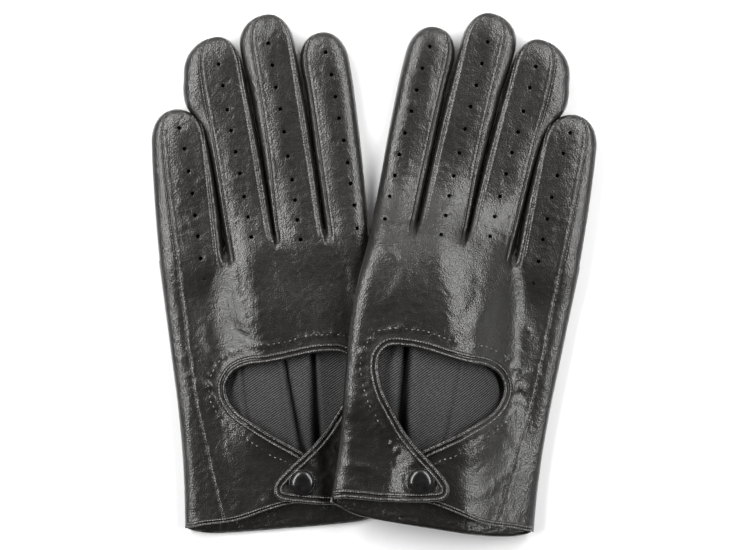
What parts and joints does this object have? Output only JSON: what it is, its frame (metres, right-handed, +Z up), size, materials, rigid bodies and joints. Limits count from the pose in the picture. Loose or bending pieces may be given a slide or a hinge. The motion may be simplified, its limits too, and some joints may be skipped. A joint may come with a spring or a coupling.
{
  "type": "driving gloves",
  "caption": "Pair of leather driving gloves lying palm down and overlapping, with perforated fingers, an opening on the back and a snap strap at the wrist.",
  "frame": {"origin": "middle of the pair's bounding box, on the ground", "axes": "+Z up out of the gloves' backs, +Y towards the fingertips, +X towards the right-hand glove"},
  "size_m": [0.2072, 0.2428, 0.0314],
  "materials": {
    "back_leather": "smooth black lambskin, soft sheen",
    "seam_leather": "smooth black lambskin, sidewall strips",
    "binding_leather": "folded and stitched black lambskin edge",
    "lining_cloth": "dark grey twill",
    "snap_enamel": "black lacquered, glossy",
    "snap_metal": "plated steel"
  },
  "bodies": {
    "left_hand": {"left_back_hem": "binding_leather", "left_hand_lining": "lining_cloth", "left_keyhole_binding": "binding_leather", "left_palm_hem": "binding_leather", "left_snap_post": "snap_metal", "left_snap_stud": "snap_metal", "left_trank": "back_leather"},
    "left_index_finger": {"left_index_fourchette": "seam_leather", "left_index_leather": "back_leather", "left_index_lining": "lining_cloth"},
    "left_little_finger": {"left_little_back": "back_leather", "left_little_fourchette": "seam_leather", "left_little_lining": "lining_cloth", "left_little_palm": "back_leather"},
    "left_middle_finger": {"left_middle_back": "back_leather", "left_middle_fourchette_index": "seam_leather", "left_middle_fourchette_ring": "seam_leather", "left_middle_lining": "lining_cloth", "left_middle_palm": "back_leather"},
    "left_ring_finger": {"left_ring_back": "back_leather", "left_ring_fourchette_little": "seam_leather", "left_ring_fourchette_middle": "seam_leather", "left_ring_lining": "lining_cloth", "left_ring_palm": "back_leather"},
    "left_strap": {"left_snap_cap": "snap_enamel", "left_snap_socket": "snap_metal", "left_strap_binding": "binding_leather", "left_strap_tab": "back_leather"},
    "left_thumb": {"left_thumb_leather": "back_leather", "left_thumb_lining": "lining_cloth"},
    "right_hand": {"right_back_hem": "binding_leather", "right_hand_lining": "lining_cloth", "right_keyhole_binding": "binding_leather", "right_palm_hem": "binding_leather", "right_snap_post": "snap_metal", "right_snap_stud": "snap_metal", "right_trank": "back_leather"},
    "right_index_finger": {"right_index_fourchette": "seam_leather", "right_index_leather": "back_leather", "right_index_lining": "lining_cloth"},
    "right_little_finger": {"right_little_back": "back_leather", "right_little_fourchette": "seam_leather", "right_little_lining": "lining_cloth", "right_little_palm": "back_leather"},
    "right_middle_finger": {"right_middle_back": "back_leather", "right_middle_fourchette_index": "seam_leather", "right_middle_fourchette_ring": "seam_leather", "right_middle_lining": "lining_cloth", "right_middle_palm": "back_leather"},
    "right_ring_finger": {"right_ring_back": "back_leather", "right_ring_fourchette_little": "seam_leather", "right_ring_fourchette_middle": "seam_leather", "right_ring_lining": "lining_cloth", "right_ring_palm": "back_leather"},
    "right_strap": {"right_snap_cap": "snap_enamel", "right_snap_socket": "snap_metal", "right_strap_binding": "binding_leather", "right_strap_tab": "back_leather"},
    "right_thumb": {"right_thumb_leather": "back_leather", "right_thumb_lining": "lining_cloth"}
  },
  "joints": [
    {"name": "right_glove_lift", "type": "slide", "parent": "left_hand", "child": "right_hand", "axis": [0, 0, 1], "range_m": [0, 0.15]},
    {"name": "left_index_bend", "type": "hinge", "parent": "left_hand", "child": "left_index_finger", "pos_m": [-0.01377, 0.03152, 0.005], "axis": [-0.9917, -0.1288, 0], "range_deg": [-20, 80]},
    {"name": "left_middle_bend", "type": "hinge", "parent": "left_hand", "child": "left_middle_finger", "pos_m": [-0.03569, 0.02975, 0.005], "axis": [-0.988, -0.1547, 0], "range_deg": [-20, 80]},
    {"name": "left_ring_bend", "type": "hinge", "parent": "left_hand", "child": "left_ring_finger", "pos_m": [-0.05952, 0.02784, 0.005], "axis": [-0.9863, -0.165, 0], "range_deg": [-20, 80]},
    {"name": "left_little_bend", "type": "hinge", "parent": "left_hand", "child": "left_little_finger", "pos_m": [-0.08613, 0.02068, 0.005], "axis": [-0.9943, -0.1063, 0], "range_deg": [-20, 80]},
    {"name": "left_strap_open", "type": "hinge", "parent": "left_hand", "child": "left_strap", "pos_m": [-0.02327, -0.08853, 0.00937], "axis": [-0.0802, 0.9964, 0.028], "range_deg": [0, 75]},
    {"name": "left_thumb_swing", "type": "hinge", "parent": "left_hand", "child": "left_thumb", "pos_m": [-0.00579, -0.0501, 0.0027], "axis": [0, 0, -1], "range_deg": [0, 60]},
    {"name": "right_index_bend", "type": "hinge", "parent": "right_hand", "child": "right_index_finger", "pos_m": [0.01165, 0.03505, 0.00511], "axis": [-0.9789, 0.2045, 0], "range_deg": [-20, 80]},
    {"name": "right_middle_bend", "type": "hinge", "parent": "right_hand", "child": "right_middle_finger", "pos_m": [0.03338, 0.03161, 0.00573], "axis": [-0.9732, 0.23, 0], "range_deg": [-20, 80]},
    {"name": "right_ring_bend", "type": "hinge", "parent": "right_hand", "child": "right_ring_finger", "pos_m": [0.05699, 0.02787, 0.00533], "axis": [-0.9707, 0.2402, 0], "range_deg": [-20, 80]},
    {"name": "right_little_bend", "type": "hinge", "parent": "right_hand", "child": "right_little_finger", "pos_m": [0.08297, 0.01869, 0.005], "axis": [-0.9833, 0.1822, 0], "range_deg": [-20, 80]},
    {"name": "right_strap_open", "type": "hinge", "parent": "right_hand", "child": "right_strap", "pos_m": [0.01192, -0.08538, 0.02517], "axis": [-0.1564, -0.9873, -0.028], "range_deg": [0, 75]},
    {"name": "right_thumb_swing", "type": "hinge", "parent": "right_hand", "child": "right_thumb", "pos_m": [-0.00256, -0.04573, 0.0185], "axis": [0, 0, 1], "range_deg": [0, 60]}
  ]
}
